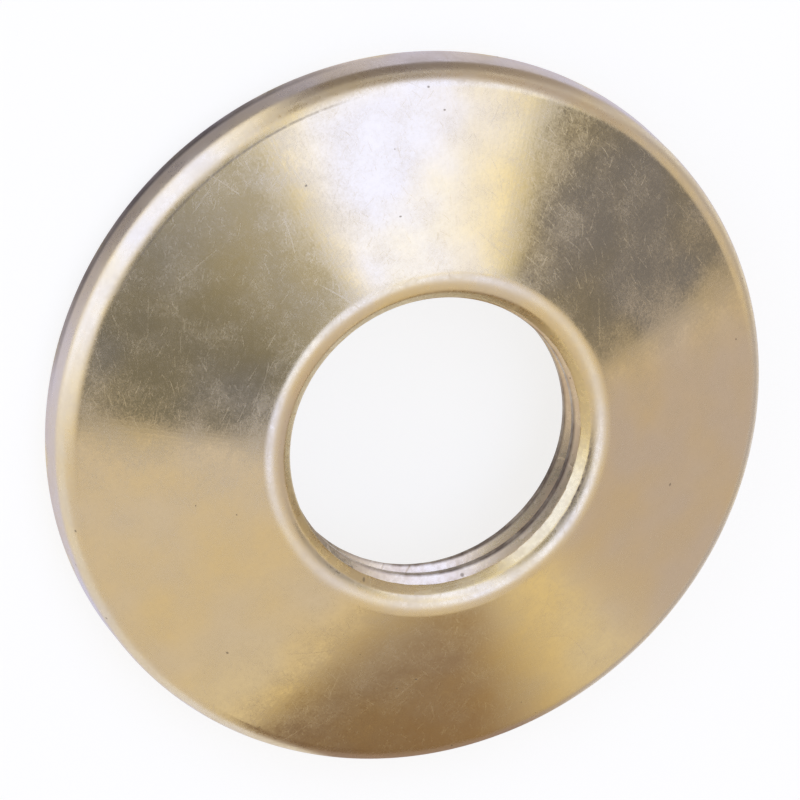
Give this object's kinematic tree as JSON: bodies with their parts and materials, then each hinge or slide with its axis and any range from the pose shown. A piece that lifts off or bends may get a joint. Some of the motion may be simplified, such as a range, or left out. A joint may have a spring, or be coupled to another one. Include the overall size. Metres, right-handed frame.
{
  "type": "tap rosette",
  "caption": "Round brass wall rosette: a flared face bends over into a short skirt at the rim and rolls into a threaded collar at its centre, to cover a pipe's hole in the wall behind a tap.",
  "frame": {"origin": "on the axis of the bore, in the wall plane that the skirt's edge lies on", "axes": "+Z along the bore, out of the wall towards the tap; X and Y are alike, because the part is round"},
  "size_m": [0.047, 0.047, 0.0085],
  "materials": {
    "brass": "bare drawn brass, satin, with hairline scratches and faint clouding"
  },
  "bodies": {
    "root": {"rosette": "brass"}
  },
  "joints": []
}
